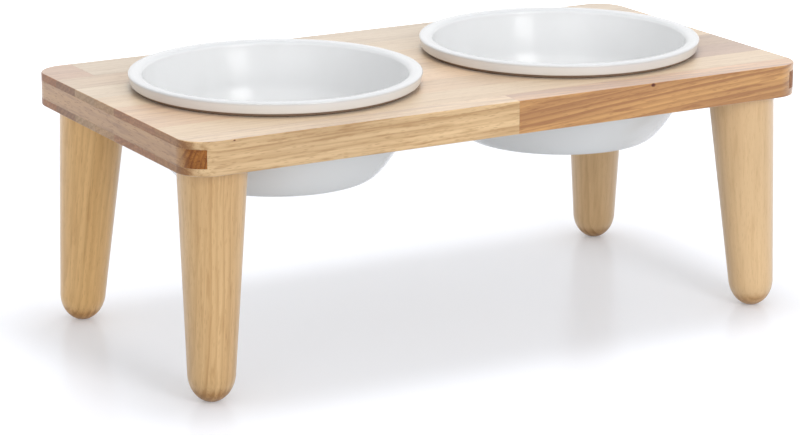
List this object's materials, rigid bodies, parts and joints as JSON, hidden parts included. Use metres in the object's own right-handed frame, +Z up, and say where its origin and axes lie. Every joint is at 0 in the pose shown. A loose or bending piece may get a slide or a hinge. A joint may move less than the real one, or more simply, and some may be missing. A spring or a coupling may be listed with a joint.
{
  "type": "raised pet feeder",
  "caption": "Raised pet feeder: a glued-up wooden board on splayed turned legs, with deep white ceramic bowls hanging by their rims in round holes and lifting out.",
  "frame": {"origin": "on the floor, under the middle of the board", "axes": "+X along the board's length, +Y from its front edge to its back edge, +Z up"},
  "size_m": [0.4, 0.207, 0.1575],
  "materials": {
    "stave_tan": "satin clear lacquer",
    "stave_orange": "satin clear lacquer",
    "stave_pink": "satin clear lacquer",
    "stave_pale": "satin clear lacquer",
    "stave_mid": "satin clear lacquer",
    "end_key": "satin clear lacquer",
    "leg_wood": "satin clear lacquer",
    "white_glaze": "gloss",
    "bolt_steel": "bright zinc",
    "insert_zinc": "as cast"
  },
  "bodies": {
    "stand": {"end_key_left": "end_key", "end_key_right": "end_key", "leg_front_left": "leg_wood", "leg_front_right": "leg_wood", "leg_back_left": "leg_wood", "leg_back_right": "leg_wood", "leg_bolt_front_left": "bolt_steel", "leg_bolt_front_right": "bolt_steel", "leg_bolt_back_left": "bolt_steel", "leg_bolt_back_right": "bolt_steel", "leg_insert_front_left": "insert_zinc", "leg_insert_front_right": "insert_zinc", "leg_insert_back_left": "insert_zinc", "leg_insert_back_right": "insert_zinc", "stave_front_left": "stave_tan", "stave_front_right": "stave_orange", "stave_front_inner": "stave_pale", "stave_left_1": "stave_mid", "stave_middle_1": "stave_mid", "stave_right_1": "stave_pink", "stave_left_2": "stave_mid", "stave_middle_2": "stave_tan", "stave_right_2": "stave_mid", "stave_left_3": "stave_pale", "stave_middle_3": "stave_mid", "stave_right_3": "stave_pale", "stave_left_4": "stave_pale", "stave_middle_4": "stave_pale", "stave_right_4": "stave_mid", "stave_left_5": "stave_mid", "stave_middle_5": "stave_pale", "stave_right_5": "stave_pale", "stave_back_left": "stave_pink", "stave_back": "stave_pale"},
    "bowl_left_body": {"bowl_left": "white_glaze"},
    "bowl_right_body": {"bowl_right": "white_glaze"}
  },
  "joints": [
    {"name": "bowl_left_lift", "type": "slide", "parent": "stand", "child": "bowl_left_body", "axis": [0, 0, 1], "range_m": [0, 0.065]},
    {"name": "bowl_right_lift", "type": "slide", "parent": "stand", "child": "bowl_right_body", "axis": [0, 0, 1], "range_m": [0, 0.065]}
  ]
}
